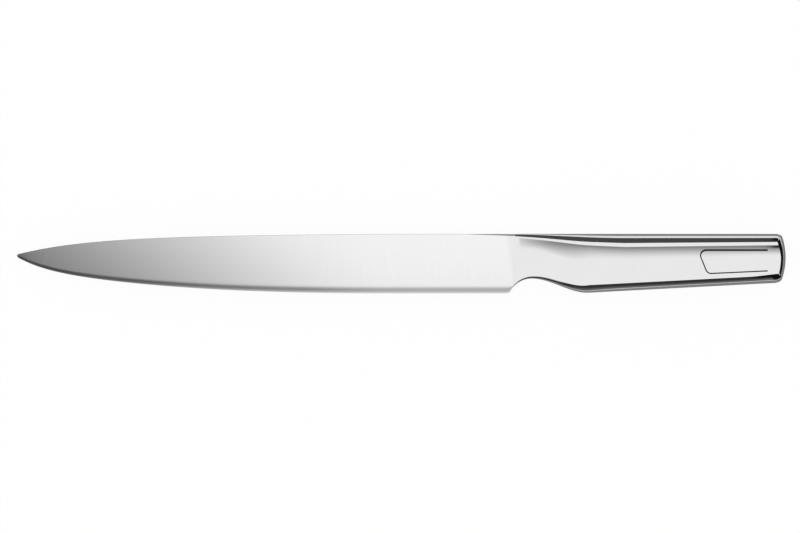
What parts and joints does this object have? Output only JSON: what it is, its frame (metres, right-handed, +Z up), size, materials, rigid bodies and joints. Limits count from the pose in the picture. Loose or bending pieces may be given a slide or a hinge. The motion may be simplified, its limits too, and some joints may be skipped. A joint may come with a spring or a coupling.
{
  "type": "fillet knife",
  "caption": "All-steel fillet knife with a long slender blade, finger notch and polished hollow handle with a ridged back, for slicing fish and meat.",
  "frame": {"origin": "on the surface the knife lies on, under the middle of its box: z is zero at the crest of the right handle shell", "axes": "+X from the tip to the butt, +Y from the cutting edge to the spine, +Z up out of the left side"},
  "size_m": [0.313, 0.0242, 0.015],
  "materials": {
    "satin_steel": "satin ground",
    "polished_steel": "mirror polished",
    "weld_filler": "ground flush and polished",
    "mild_steel": "as sawn",
    "black_print": "matt black print"
  },
  "bodies": {
    "root": {"blade": "satin_steel", "neck": "polished_steel", "left_handle_shell": "polished_steel", "right_handle_shell": "polished_steel", "blade_weld": "weld_filler", "neck_weld": "weld_filler", "spine_seam_weld": "weld_filler", "belly_seam_weld": "weld_filler", "butt_seam_weld": "weld_filler", "balance_weight": "mild_steel", "weight_tack_weld": "mild_steel", "pinstripe": "black_print"}
  },
  "joints": []
}
